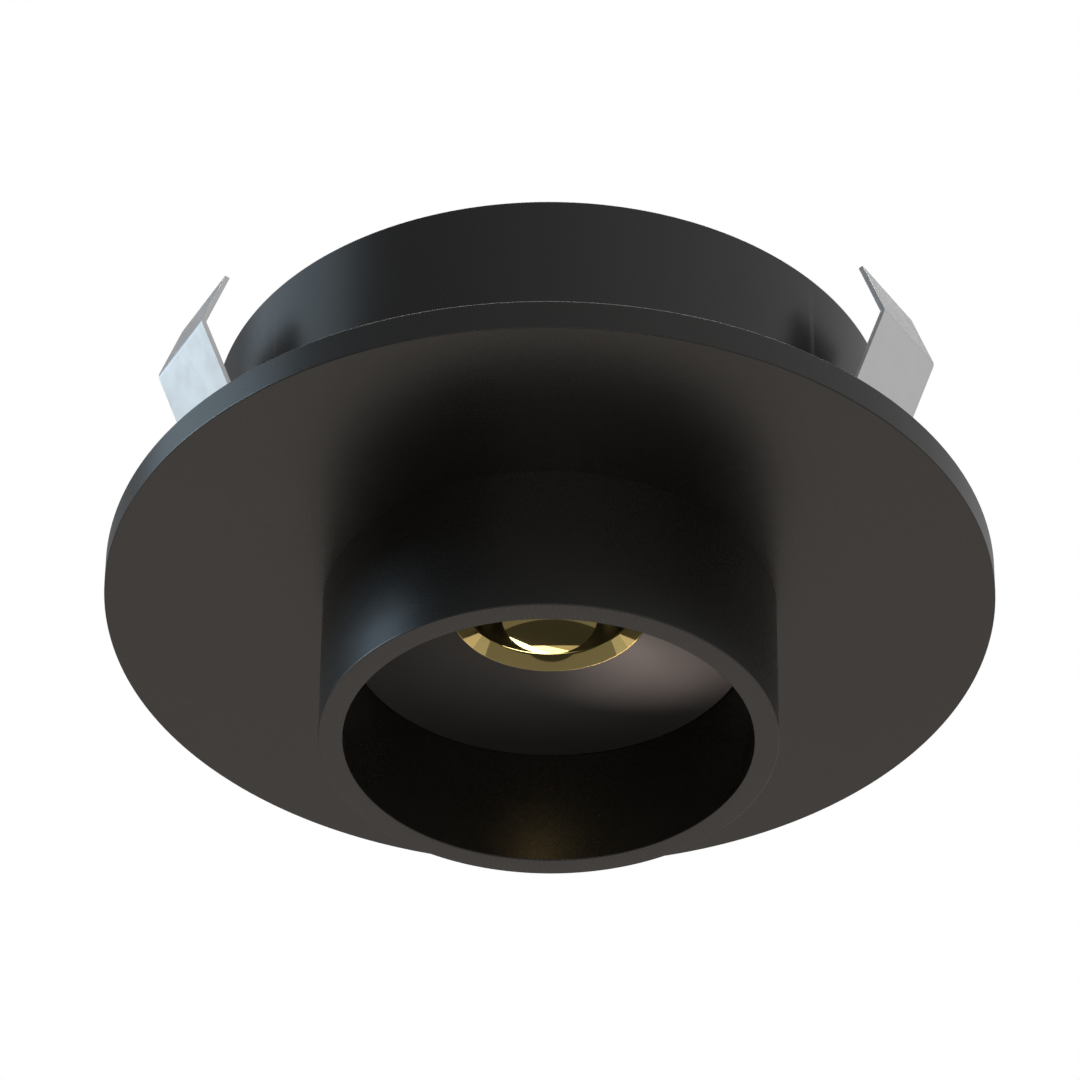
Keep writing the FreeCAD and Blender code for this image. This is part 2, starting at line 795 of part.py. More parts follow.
# ---------------------------------------------------------------- all pieces
pieces = {
    "trim_bezel": trim_bezel(),
    "ceiling_gasket": ceiling_gasket(),
    "anti_glare_baffle": anti_glare_baffle(),
    "reflector_cup": reflector_cup(),
    "glass_seal": glass_seal(),
    "protective_glass": protective_glass(),
    "led_emitter": led_emitter(),
    "led_board": led_board(),
    "thermal_pad": thermal_pad(),
    "led_holder": led_holder(),
    "holder_screws": holder_screws(),
    "housing_can": housing_can(),
    "housing_seal": housing_seal(),
    "body_screws": body_screws(),
    "lead_grommets": lead_grommets(),
    "positive_lead": lead(terminal_pitch / 2),
    "negative_lead": lead(-terminal_pitch / 2),
    "terminal_block": terminal_block(),
    "terminal_barrels": terminal_barrels(),
    "terminal_screws": terminal_screws(),
    "terminal_fixing_screw": terminal_fixing_screw(),
    "rear_cover": rear_cover(),
    "cover_gasket": cover_gasket(),
    "cover_screws": cover_screws(),
    "gland_body": gland_body(),
    "gland_ring": gland_ring(),
    "gland_lock_nut": gland_lock_nut(),
    "gland_insert": gland_insert(),
    "gland_cap": gland_cap(),
    "clip_screws": clip_screws(),
}
for number, azimuth in enumerate(clip_azimuths, 1):
    pieces[f"clip_foot_{number}"] = round_about(clip_foot(), azimuth)
    pieces[f"clip_leaf_{number}"] = round_about(clip_leaf(), azimuth)

os.makedirs("parts", exist_ok=True)
for name, shape in pieces.items():
    if not shape.isValid() or shape.Volume <= 0:
        print("check", name, shape.isValid(), round(shape.Volume, 3))
    shape.exportStep(f"parts/{name}.step")
print(len(pieces), "pieces")
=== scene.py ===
import bpy, bmesh
import math
from mathutils import Matrix, Vector


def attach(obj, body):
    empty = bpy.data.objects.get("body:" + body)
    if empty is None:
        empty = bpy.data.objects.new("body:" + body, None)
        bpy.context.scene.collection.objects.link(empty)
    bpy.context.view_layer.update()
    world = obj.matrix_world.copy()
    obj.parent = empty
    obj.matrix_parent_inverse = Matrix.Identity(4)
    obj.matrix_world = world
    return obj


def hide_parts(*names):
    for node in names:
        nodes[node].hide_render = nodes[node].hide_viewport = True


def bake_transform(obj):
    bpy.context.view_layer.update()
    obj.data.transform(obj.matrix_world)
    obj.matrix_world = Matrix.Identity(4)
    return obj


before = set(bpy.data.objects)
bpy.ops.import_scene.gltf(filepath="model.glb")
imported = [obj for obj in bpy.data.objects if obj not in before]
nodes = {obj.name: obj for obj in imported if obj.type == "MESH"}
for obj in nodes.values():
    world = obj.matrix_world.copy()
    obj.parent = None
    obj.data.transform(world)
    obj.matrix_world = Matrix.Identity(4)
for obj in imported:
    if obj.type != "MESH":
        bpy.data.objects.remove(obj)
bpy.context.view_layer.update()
mm = 0.001
bite = 0.5  # mm that added stock reaches into the piece it joins
clear = 1  # mm that a cutting tool runs past the piece it cuts
ringSlack = {"radius": 0.02, "height": 0.01}  # mm by which an edge may miss the ring it is picked for
clipAngles = {1: 90, 2: 210, 3: 330}  # degrees round Z, one spring clip and one cover screw each
trimScrews = {"angles": (30, 150, 270), "place": 29.85}
print("frame loaded:", len(nodes), "nodes")


# helpers for modelling

def nothingSelected():
    if bpy.context.object and bpy.context.object.mode != "OBJECT":
        bpy.ops.object.mode_set(mode="OBJECT")
    bpy.ops.object.select_all(action="DESELECT")


def onlySelected(piece):
    nothingSelected()
    piece.select_set(True)
    bpy.context.view_layer.objects.active = piece


def added(name):  # the object that an operator has just added, named and with its place in its mesh
    piece = bpy.context.object
    piece.name = piece.data.name = name
    bpy.ops.object.transform_apply(location=True, rotation=True, scale=True)
    return piece


def startPoint(name, point):  # a plane merged to one vertex, to extrude from
    nothingSelected()
    bpy.ops.mesh.primitive_plane_add(size=mm)
    piece = added(name)
    bpy.ops.object.mode_set(mode="EDIT")
    bpy.ops.mesh.select_mode(type="VERT")
    bpy.ops.mesh.select_all(action="SELECT")
    bpy.ops.mesh.merge(type="CENTER")
    bpy.ops.transform.translate(value=point)
    return piece


def extrudeAlong(points):
    for here, there in zip(points, points[1:]):
        bpy.ops.mesh.extrude_region_move(TRANSFORM_OT_translate={"value": there - here})


def lathe(name, profile, steps=180, closed=True):  # profile: (radius, height) in mm, spun round Z
    line = [Vector((r, 0, z)) * mm for r, z in profile]
    piece = startPoint(name, line[0])
    extrudeAlong(line + line[:1] if closed else line)
    bpy.ops.mesh.select_all(action="SELECT")
    bpy.ops.mesh.remove_doubles(threshold=1e-7)  # the profile's own end
    bpy.ops.mesh.spin(steps=steps, angle=2 * math.pi, center=(0, 0, 0), axis=(0, 0, 1))
    bpy.ops.mesh.select_all(action="SELECT")
    bpy.ops.mesh.remove_doubles(threshold=1e-6)  # the seam and the poles
    bpy.ops.mesh.normals_make_consistent(inside=False)
    nothingSelected()
    return piece


def drum(name, radius, low, high, x=0, y=0, sides=64):  # plain round stock, sizes in mm
    nothingSelected()
    bpy.ops.mesh.primitive_cylinder_add(vertices=sides, radius=radius * mm, depth=(high - low) * mm,
                                        location=(x * mm, y * mm, (low + high) / 2 * mm))
    return added(name)


def onCircle(radius, degrees):
    return radius * math.cos(math.radians(degrees)), radius * math.sin(math.radians(degrees))


def turnZ(degrees):
    return Matrix.Rotation(math.radians(degrees), 4, "Z")


def booleanWith(piece, tool, operation):
    onlySelected(piece)
    bpy.ops.object.modifier_add(type="BOOLEAN")
    cut = piece.modifiers[-1]
    cut.operation = operation
    cut.solver = "MANIFOLD"
    cut.object = tool
    bpy.ops.object.modifier_apply(modifier=cut.name)
    bpy.data.objects.remove(tool)


def roundEdges(piece, test, width, segments=3):  # bevels the edges whose ends both pass the test
    onlySelected(piece)
    bpy.ops.object.mode_set(mode="EDIT")
    bpy.ops.mesh.select_mode(type="EDGE")
    bpy.ops.mesh.select_all(action="DESELECT")
    mesh = bmesh.from_edit_mesh(piece.data)
    for edge in mesh.edges:
        edge.select_set(all(test(vertex.co / mm) for vertex in edge.verts))
    bmesh.update_edit_mesh(piece.data)
    bpy.ops.mesh.bevel(offset=width * mm, segments=segments, affect="EDGES", clamp_overlap=False)
    nothingSelected()


def roundRings(piece, rings, width, segments=3):  # rings: (radius, height) of circular edges
    def onRing(point):
        across = math.hypot(point.x, point.y)
        return any(abs(across - r) < ringSlack["radius"] and abs(point.z - z) < ringSlack["height"] for r, z in rings)
    roundEdges(piece, onRing, width, segments)


def smoothed(piece, degrees=33, flatFaces=False):  # flatFaces: faces square to Z are left with flat shading
    onlySelected(piece)
    bpy.ops.object.shade_smooth_by_angle(angle=math.radians(degrees))
    if flatFaces:
        for face in piece.data.polygons:
            face.use_smooth = face.use_smooth and abs(face.normal.z) < 0.9999
    bpy.ops.object.modifier_add(type="WEIGHTED_NORMAL")
    piece.modifiers[-1].keep_sharp = True
    bpy.ops.object.modifier_apply(modifier=piece.modifiers[-1].name)
    return piece


def copyTurned(piece, name, degrees, offset=(0, 0, 0)):  # a copy with its own mesh, turned round Z in place
    twin = piece.copy()
    twin.data = piece.data.copy()
    twin.name = twin.data.name = name
    bpy.context.scene.collection.objects.link(twin)
    twin.data.transform(turnZ(degrees) @ Matrix.Translation(Vector(offset) * mm))
    return twin


def joined(name, pieces):
    nothingSelected()
    for piece in pieces:
        piece.select_set(True)
    bpy.context.view_layer.objects.active = pieces[0]
    bpy.ops.object.join()
    pieces[0].name = pieces[0].data.name = name
    return pieces[0]


def dress(piece, material, stands):  # stands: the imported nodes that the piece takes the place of
    piece.data.materials.clear()
    piece.data.materials.append(material)
    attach(piece, "fitting")
    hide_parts(*stands)


# helpers for materials

def addNode(tree, kind, inputs=None, **settings):
    node = tree.nodes.new(kind)
    for name, value in settings.items():
        setattr(node, name, value)
    for name, value in (inputs or {}).items():
        if isinstance(value, bpy.types.NodeSocket):
            tree.links.new(value, node.inputs[name])
        else:
            node.inputs[name].default_value = value
    return node


def startGroup(name, takes, gives):  # sockets by name: float, tuple of 3 for a vector, of 4 for a colour
    group = bpy.data.node_groups.new(name, "ShaderNodeTree")
    kinds = {1: "NodeSocketFloat", 3: "NodeSocketVector", 4: "NodeSocketColor"}
    for way, sockets in (("INPUT", takes), ("OUTPUT", gives)):
        for label, value in sockets.items():
            size = len(value) if isinstance(value, tuple) else 1
            socket = group.interface.new_socket(name=label, in_out=way, socket_type=kinds[size])
            if way == "INPUT":
                socket.default_value = value
    return group, group.nodes.new("NodeGroupInput").outputs, group.nodes.new("NodeGroupOutput").inputs


def math2(tree, operation, a, b=0.0, c=0.0):
    return addNode(tree, "ShaderNodeMath", {0: a, 1: b, 2: c}, operation=operation).outputs[0]


def spread(tree, value, fromLow, fromHigh, toLow, toHigh):
    return addNode(tree, "ShaderNodeMapRange", {
        "Value": value, "From Min": fromLow, "From Max": fromHigh, "To Min": toLow, "To Max": toHigh,
    }).outputs["Result"]


def noise(tree, place, scale, detail, roughness=0.5):
    return addNode(tree, "ShaderNodeTexNoise", {
        "Vector": place, "Scale": scale, "Detail": detail, "Roughness": roughness}).outputs["Fac"]


def mixColors(tree, factor, first, second):  # 6, 7 and output 2 are the Mix node's colour sockets
    return addNode(tree, "ShaderNodeMix", {0: factor, 6: first, 7: second}, data_type="RGBA").outputs[2]


def makeGrain():  # sprayed or moulded skin: soft dimples, fine grain, slow changes of tone and gloss
    group, take, give = startGroup(
        "skinGrain",
        {"Vector": (0, 0, 0), "Colour": (0, 0, 0, 1), "Second Colour": (0, 0, 0, 1), "Dimples": 900.0,
         "Grain": 6000.0, "Gloss Low": 0.3, "Gloss High": 0.4, "Drift": 60.0},
        {"Colour": (0, 0, 0, 1), "Roughness": 0.0, "Height": 0.0},
    )
    dimples = noise(group, take["Vector"], take["Dimples"], 1.5, 0.45)
    grain = noise(group, take["Vector"], take["Grain"], 3.0, 0.6)
    drift = noise(group, take["Vector"], take["Drift"], 4.0, 0.55)
    level = spread(group, drift, 0.3, 0.7, take["Gloss Low"], take["Gloss High"])
    fleck = spread(group, grain, 0.35, 0.65, -0.02, 0.02)
    tone = math2(group, "MULTIPLY_ADD", grain, 0.5, math2(group, "MULTIPLY", drift, 0.5))
    group.links.new(mixColors(group, tone, take["Colour"], take["Second Colour"]), give["Colour"])
    group.links.new(math2(group, "ADD", level, fleck), give["Roughness"])
    group.links.new(math2(group, "MULTIPLY_ADD", grain, 0.35, dimples), give["Height"])
    return group


def makeTurnedLines():  # fine rings that a lathe or a spinning chuck leaves round Z
    group, take, give = startGroup(
        "turnedLines", {"Vector": (0, 0, 0), "Pitch": 5000.0, "Gloss Low": 0.2, "Gloss High": 0.3},
        {"Roughness": 0.0, "Height": 0.0, "Line": 0.0},
    )
    flat = addNode(group, "ShaderNodeSeparateXYZ", {"Vector": take["Vector"]}).outputs
    squares = [math2(group, "POWER", flat[axis], 2.0) for axis in ("X", "Y")]
    across = math2(group, "SQRT", math2(group, "ADD", *squares))
    along = addNode(group, "ShaderNodeCombineXYZ", {"X": across, "Z": flat["Z"]}).outputs["Vector"]
    lines = noise(group, along, take["Pitch"], 4.0, 0.65)
    group.links.new(spread(group, lines, 0.3, 0.7, take["Gloss Low"], take["Gloss High"]), give["Roughness"])
    group.links.new(lines, give["Height"])
    group.links.new(lines, give["Line"])
    return group


def makeRolledStreaks():  # long scratches that rolling and brushing leave in strip, along V of its UV map
    group, take, give = startGroup(
        "rolledStreaks",
        {"Vector": (0, 0, 0), "Across": 90.0, "Along": 3.0, "Gloss Low": 0.25, "Gloss High": 0.4},
        {"Roughness": 0.0, "Height": 0.0, "Streak": 0.0},
    )
    parts = addNode(group, "ShaderNodeSeparateXYZ", {"Vector": take["Vector"]}).outputs
    drawn = addNode(group, "ShaderNodeCombineXYZ", {
        "X": math2(group, "MULTIPLY", parts["X"], take["Across"]),
        "Y": math2(group, "MULTIPLY", parts["Y"], take["Along"])}).outputs["Vector"]
    streaks = noise(group, drawn, 1.0, 5.0, 0.7)
    stains = noise(group, take["Vector"], 3.0, 3.0)
    gloss = spread(group, streaks, 0.3, 0.7, take["Gloss Low"], take["Gloss High"])
    gloss = math2(group, "ADD", gloss, spread(group, stains, 0.4, 0.8, 0.0, 0.08))
    group.links.new(gloss, give["Roughness"])
    group.links.new(streaks, give["Height"])
    group.links.new(streaks, give["Streak"])
    return group


skinGrain = makeGrain()
turnedLines = makeTurnedLines()
rolledStreaks = makeRolledStreaks()


def startMaterial(name, sockets):
    material = bpy.data.materials.new(name)
    material.use_nodes = True
    tree = material.node_tree
    shader = tree.nodes["Principled BSDF"]
    for label, value in sockets.items():
        shader.inputs[label].default_value = value
    return material, tree, shader


def addEffect(tree, shader, effect, place, look, bump):  # an effect group, its roughness and its bump
    node = addNode(tree, "ShaderNodeGroup", {"Vector": place}, node_tree=effect)
    for label, value in look.items():
        node.inputs[label].default_value = value
    tree.links.new(node.outputs["Roughness"], shader.inputs["Roughness"])
    strength, distance = bump
    relief = addNode(tree, "ShaderNodeBump", {
        "Strength": strength, "Distance": distance * mm, "Height": node.outputs["Height"]})
    tree.links.new(relief.outputs["Normal"], shader.inputs["Normal"])
    return node.outputs


def grainMaterial(name, look):
    material, tree, shader = startMaterial(name, look["shader"])
    place = addNode(tree, "ShaderNodeTexCoord").outputs["Object"]
    skin = addEffect(tree, shader, skinGrain, place, look["skin"], look["bump"])
    tree.links.new(skin["Colour"], shader.inputs["Base Color"])
    return material


def turnedMaterial(name, look):
    material, tree, shader = startMaterial(name, look["shader"])
    place = addNode(tree, "ShaderNodeTexCoord").outputs["Object"]
    lines = addEffect(tree, shader, turnedLines, place, look["lines"], look["bump"])
    tree.links.new(mixColors(tree, lines["Line"], *look["colours"]), shader.inputs["Base Color"])
    return material


def streakMaterial(name, look):
    material, tree, shader = startMaterial(name, look["shader"])
    place = addNode(tree, "ShaderNodeUVMap", uv_map="strip").outputs["UV"]
    streaks = addEffect(tree, shader, rolledStreaks, place, look["streaks"], look["bump"])
    tree.links.new(mixColors(tree, streaks["Streak"], *look["colours"]), shader.inputs["Base Color"])
    return material


def plainGrain(darker, lighter, low, high, dimples=1500.0, grain=8000.0, strength=0.25, distance=0.01, **shader):
    sockets = {label.replace("_", " "): value for label, value in shader.items()}
    return {"shader": sockets, "bump": (strength, distance),
            "skin": {"Colour": (*darker, 1), "Second Colour": (*lighter, 1), "Dimples": dimples, "Grain": grain,
                     "Gloss Low": low, "Gloss High": high}}


def metalLines(darker, lighter, pitch, low, high, strength, distance):
    return {"shader": {"Metallic": 1.0}, "colours": ((*darker, 1), (*lighter, 1)), "bump": (strength, distance),
            "lines": {"Pitch": pitch, "Gloss Low": low, "Gloss High": high}}


blackCoat = grainMaterial("trimCoat", plainGrain(
    (0.0085, 0.008, 0.0075), (0.0115, 0.011, 0.0105), 0.27, 0.31, 1100.0, 7000.0, 0.12, 0.004))
canCoat = grainMaterial("canCoat", plainGrain(
    (0.0085, 0.0085, 0.0088), (0.0115, 0.0115, 0.012), 0.27, 0.31, 1100.0, 7000.0, 0.12, 0.004))
baffleBlack = grainMaterial("baffleBlack", plainGrain(
    (0.018, 0.0172, 0.017), (0.026, 0.025, 0.0245), 0.36, 0.42, 1600.0, 9000.0, 0.2, 0.006))
goldMirror = turnedMaterial("goldMirror", metalLines(
    (0.60, 0.47, 0.17), (0.72, 0.58, 0.25), 2500.0, 0.03, 0.05, 0.05, 0.001))
springSteel = streakMaterial("springSteel", {
    "shader": {"Metallic": 1.0}, "colours": ((0.58, 0.585, 0.60, 1), (0.74, 0.745, 0.755, 1)),
    "streaks": {"Across": 90.0, "Along": 3.0, "Gloss Low": 0.28, "Gloss High": 0.40}, "bump": (0.15, 0.002)})
zincSteel = turnedMaterial("zincSteel", metalLines(
    (0.55, 0.57, 0.6), (0.72, 0.74, 0.76), 4000.0, 0.22, 0.38, 0.15, 0.003))
brass = turnedMaterial("brass", metalLines(
    (0.62, 0.43, 0.17), (0.80, 0.60, 0.28), 4000.0, 0.2, 0.35, 0.15, 0.003))
foam = grainMaterial("foam", plainGrain(
    (0.02, 0.02, 0.021), (0.06, 0.06, 0.062), 0.85, 0.97, 2600.0, 7000.0, 0.9, 0.12))
silicone = grainMaterial("silicone", plainGrain((0.26, 0.27, 0.28), (0.36, 0.37, 0.38), 0.5, 0.6))
blackRubber = grainMaterial("blackRubber", plainGrain((0.013, 0.013, 0.013), (0.026, 0.026, 0.026), 0.55, 0.7))
blackNylon = grainMaterial("blackNylon", plainGrain(
    (0.012, 0.012, 0.0125), (0.022, 0.022, 0.023), 0.38, 0.5, 2500.0, 9000.0, 0.5, 0.012))
greyMoulding = grainMaterial("greyMoulding", plainGrain((0.42, 0.43, 0.44), (0.52, 0.53, 0.54), 0.42, 0.52))
whiteMoulding = grainMaterial("whiteMoulding", plainGrain((0.72, 0.72, 0.70), (0.80, 0.80, 0.78), 0.38, 0.48))
boardFace = grainMaterial("boardFace", plainGrain((0.66, 0.67, 0.66), (0.78, 0.79, 0.78), 0.3, 0.36))
padGrey = grainMaterial("padGrey", plainGrain((0.30, 0.33, 0.38), (0.38, 0.41, 0.46), 0.7, 0.8))
phosphor = grainMaterial("phosphor", plainGrain(
    (0.78, 0.50, 0.05), (0.90, 0.66, 0.12), 0.3, 0.4, 3000.0, 12000.0, 0.4, 0.02))
redSheath = grainMaterial("redSheath", plainGrain((0.34, 0.022, 0.018), (0.44, 0.035, 0.028), 0.36, 0.44))
blackSheath = grainMaterial("blackSheath", plainGrain((0.014, 0.014, 0.014), (0.026, 0.026, 0.026), 0.36, 0.44))
clearGlass = grainMaterial("clearGlass", plainGrain(
    (0.95, 0.98, 0.97), (0.98, 1.0, 0.99), 0.01, 0.02, 400.0, 3000.0, 0.02, 0.001,
    Transmission_Weight=1.0, IOR=1.5))
print("materials made:", len(bpy.data.materials))


# trim: flange and snoot in one piece

trim = {
    "bore": 23.2, "snoot": 26.0, "flange": 51.0, "rim": -23.25, "under": -4.7, "top": -1.0,
    "spigot": 36.9, "spigotTop": 2.6, "spigotInner": 34.5, "groove": 35.5, "grooveLow": -0.1, "grooveHigh": 1.7,
    "rebate": 25.3, "rebateFloor": -2.2, "pillar": 3.4, "pillarTop": 5.93, "thread": 1.52, "threadLow": 0.33,
    "edge": 0.25, "frontEdge": 0.14, "backEdge": 0.08,
}


def makeTrim():
    t = trim
    piece = lathe("trim_bezel_shell", [
        (t["bore"], t["rim"]), (t["snoot"], t["rim"]), (t["snoot"], t["under"]), (t["flange"], t["under"]),
        (t["flange"], t["top"]), (t["spigot"], t["top"]), (t["spigot"], t["grooveLow"]),
        (t["groove"], t["grooveLow"]), (t["groove"], t["grooveHigh"]), (t["spigot"], t["grooveHigh"]),
        (t["spigot"], t["spigotTop"]), (t["spigotInner"], t["spigotTop"]), (t["spigotInner"], t["top"]),
        (t["rebate"], t["top"]), (t["rebate"], t["rebateFloor"]), (t["bore"], t["rebateFloor"]),
    ], steps=240)
    roundRings(piece, [(t["spigot"], t["spigotTop"])], t["edge"])
    roundRings(piece, [(t["bore"], t["rim"]), (t["snoot"], t["rim"]), (t["flange"], t["under"])], t["frontEdge"])
    roundRings(piece, [(t["flange"], t["top"])], t["backEdge"])
    for degrees in trimScrews["angles"]:
        x, y = onCircle(trimScrews["place"], degrees)
        booleanWith(piece, drum("pillar", t["pillar"], t["top"] - bite, t["pillarTop"], x, y), "UNION")
        thread = drum("thread", t["thread"], t["threadLow"], t["pillarTop"] + clear, x, y, 32)
        booleanWith(piece, thread, "DIFFERENCE")
    dress(smoothed(piece), blackCoat, stands=["trim_bezel"])


makeTrim()
print("trim made")


# foam ring on the flange

foamRing = {"inner": 46.0, "outer": 49.5, "low": -1.0, "high": 0.0, "edge": 0.18}


def makeFoamRing():
    f = foamRing
    piece = lathe("foam_ring", [
        (f["inner"], f["low"]), (f["outer"], f["low"]), (f["outer"], f["high"]), (f["inner"], f["high"])], steps=200)
    roundRings(piece, [(f["inner"], f["high"]), (f["outer"], f["high"]), (f["outer"], f["low"])], f["edge"])
    dress(smoothed(piece), foam, stands=["ceiling_gasket"])


makeFoamRing()


# anti-glare cone, gold reflector and glass

cone = {
    "outer": 23.1, "lip": -8.4, "hole": 11.4, "holeHeight": -4.7, "wall": 1.2, "rim": 25.2, "top": -1.0,
    "seat": 13.0, "seatHeight": -3.5, "skirt": 21.9, "edge": 0.25, "lipEdge": 0.06,
}


def makeCone():
    c = cone
    slope = (c["holeHeight"] - c["lip"]) / (c["outer"] - c["hole"])
    lift = c["lip"] + c["wall"] * math.hypot(1, slope)
    piece = lathe("baffle_cone", [
        (c["outer"], c["lip"]), (c["outer"], c["top"] - c["wall"]), (c["rim"], c["top"] - c["wall"]),
        (c["rim"], c["top"]), (c["skirt"], c["top"]), (c["skirt"], lift + slope * (c["outer"] - c["skirt"])),
        (c["seat"], lift + slope * (c["outer"] - c["seat"])), (c["seat"], c["seatHeight"]),
        (c["hole"], c["seatHeight"]), (c["hole"], c["holeHeight"]),
    ], steps=200)
    roundRings(piece, [(c["rim"], c["top"]), (c["skirt"], c["top"])], c["edge"])
    roundRings(piece, [(c["outer"], c["lip"]), (c["hole"], c["holeHeight"])], c["lipEdge"], 2)
    dress(smoothed(piece), baffleBlack, stands=["anti_glare_baffle"])


makeCone()

mirror = {
    "bowl": 12.0, "centreR": -0.321, "centreZ": -10.218, "mouthTilt": 32.5, "throat": 4.6, "wall": 0.9,
    "top": 1.327, "collar": 8.2, "lip": 11.3, "lipHeight": -4.85, "shoulder": 12.8, "shoulderLow": -3.5,
    "shoulderHigh": -2.6, "lipEdge": 0.06,
}


def bowlPoints(radius, start, end, count):  # an arc of the bowl's section
    points = []
    for i in range(count + 1):
        angle = start + (end - start) * i / count
        points.append((mirror["centreR"] + radius * math.cos(angle), mirror["centreZ"] + radius * math.sin(angle)))
    return points


def makeReflector():
    m = mirror
    outer = m["bowl"] + m["wall"]
    throatAngle = math.acos((m["throat"] - m["centreR"]) / m["bowl"])
    inside = bowlPoints(m["bowl"], throatAngle, math.radians(m["mouthTilt"]), 24)
    outside = bowlPoints(outer, math.asin((m["shoulderHigh"] - m["centreZ"]) / outer),
                         math.acos((m["collar"] - m["centreR"]) / outer), 12)
    piece = lathe("gold_reflector", outside + [(m["collar"], m["top"]), (m["throat"], m["top"])] + inside + [
        (m["lip"], m["lipHeight"]), (m["lip"], m["shoulderLow"]), (m["shoulder"], m["shoulderLow"]),
        (m["shoulder"], m["shoulderHigh"])], steps=200)
    roundRings(piece, [(m["lip"], m["lipHeight"])], m["lipEdge"], 2)
    dress(smoothed(piece, 25), goldMirror, stands=["reflector_cup"])


makeReflector()

glass = {"radius": 10.0, "low": 2.027, "high": 3.527, "edge": 0.25}


def makeGlass():
    g = glass
    piece = lathe("front_glass", [(0, g["low"]), (g["radius"], g["low"]), (g["radius"], g["high"]), (0, g["high"])],
                  steps=128, closed=False)
    roundRings(piece, [(g["radius"], g["low"]), (g["radius"], g["high"])], g["edge"])
    dress(smoothed(piece), clearGlass, stands=["protective_glass"])


makeGlass()
print("optics made")


# can with its web, wiring chamber and clip seats

can = {
    "outer": 39.4, "skirt": 37.0, "chamber": 36.0, "rebate": 38.0, "low": -1.0, "webLow": 5.93, "webHigh": 9.93,
    "chamfer": 1, "ledge": 20.6, "top": 23.4, "edge": 0.25,
    "seat": 38.9, "seatDepth": 2, "seatWidth": 20, "seatLow": -2, "seatTop": 10.85,
    "bossPlace": 33.2, "boss": 3.2, "thread": 1.27, "threadDepth": 5.6,
    "screwHole": 1.7, "leadHole": 2.0, "leadSide": 4, "leadPlace": 24.26,
}


def clipSeatBlock(degrees):  # the block that mills one clip's flat seat into the wall
    c = can
    nothingSelected()
    bpy.ops.mesh.primitive_cube_add(size=1)
    block = bpy.context.object
    block.scale = (c["seatDepth"] * mm, c["seatWidth"] * mm, (c["seatTop"] - c["seatLow"]) * mm)
    block.location = ((c["seat"] + c["seatDepth"] / 2) * mm, 0, (c["seatTop"] + c["seatLow"]) / 2 * mm)
    added("flat").data.transform(turnZ(degrees))
    return block


def makeCan():
    c = can
    piece = lathe("can_shell", [
        (0, c["webLow"]), (c["skirt"] - c["chamfer"], c["webLow"]), (c["skirt"], c["webLow"] - c["chamfer"]),
        (c["skirt"], c["low"]), (c["outer"], c["low"]), (c["outer"], c["top"]), (c["rebate"], c["top"]),
        (c["rebate"], c["ledge"]), (c["chamber"], c["ledge"]), (c["chamber"], c["webHigh"] + c["chamfer"]),
        (c["chamber"] - c["chamfer"], c["webHigh"]), (0, c["webHigh"]),
    ], steps=240, closed=False)
    roundRings(piece, [(c["outer"], c["top"]), (c["rebate"], c["top"])], c["edge"])
    for degrees in clipAngles.values():
        x, y = onCircle(c["bossPlace"], degrees)
        booleanWith(piece, drum("boss", c["boss"], c["webHigh"] - bite, c["ledge"], x, y), "UNION")
        thread = drum("thread", c["thread"], c["ledge"] - c["threadDepth"], c["ledge"] + clear, x, y, 32)
        booleanWith(piece, thread, "DIFFERENCE")
        booleanWith(piece, clipSeatBlock(degrees), "DIFFERENCE")
    holes = [(c["screwHole"], *onCircle(trimScrews["place"], degrees)) for degrees in trimScrews["angles"]]
    holes += [(c["leadHole"], side, c["leadPlace"]) for side in (-c["leadSide"], c["leadSide"])]
    for radius, x, y in holes:
        booleanWith(piece, drum("hole", radius, c["webLow"] - clear, c["webHigh"] + clear, x, y, 40), "DIFFERENCE")
    dress(smoothed(piece), canCoat, stands=["housing_can"])


makeCan()
print("can made")


# pan-head screws with a hexagon socket

screws = {  # under: radius and height at which the head rests
    "cover": {"thread": 1.25, "head": 2.2, "height": 1.5, "length": 7.8, "under": (33.2, 23.4)},
    "clip": {"thread": 1.5, "head": 2.75, "height": 1.8, "length": 7.0, "under": (39.5, 7.93)},
}


def panHead(size):  # the head stands on z = 0 and the thread points down
    s = screws[size]
    point = 0.3
    piece = lathe("screw", [
        (0, -s["length"]), (s["thread"] - point, -s["length"]), (s["thread"], -s["length"] + point),
        (s["thread"], 0), (s["head"], 0), (s["head"], s["height"] * 0.45), (s["head"] * 0.9, s["height"] * 0.8),
        (s["head"] * 0.66, s["height"]), (0, s["height"])], steps=48, closed=False)
    roundRings(piece, [(s["head"], 0), (s["head"], s["height"] * 0.45)], 0.12, 2)
    across = s["thread"] * 1.7  # over the flats of the socket
    socket = drum("socket", across / math.sqrt(3), s["height"] * 0.4, s["height"] + clear, sides=6)
    booleanWith(piece, socket, "DIFFERENCE")
    return piece


def makeCoverScrews():
    model = panHead("cover")
    r, z = screws["cover"]["under"]
    three = [copyTurned(model, "screw", degrees, (r, 0, z)) for degrees in clipAngles.values()]
    bpy.data.objects.remove(model)
    dress(smoothed(joined("cover_screw_set", three), 40), zincSteel, stands=["cover_screws"])


def makeClipScrews():
    model = panHead("clip")
    r, z = screws["clip"]["under"]
    model.data.transform(Matrix.Translation((r * mm, 0, z * mm)) @ Matrix.Rotation(math.pi / 2, 4, "Y"))
    three = [copyTurned(model, "screw", degrees) for degrees in clipAngles.values()]
    bpy.data.objects.remove(model)
    dress(smoothed(joined("clip_screw_set", three), 40), zincSteel, stands=["clip_screws"])


makeCoverScrews()
makeClipScrews()


# rear cover and cable gland

cover = {"hole": 6.1, "outer": 37.9, "low": 21.4, "high": 23.4, "rings": (26.0, 15.0), "screwHole": 1.45,
         "edge": 0.25}


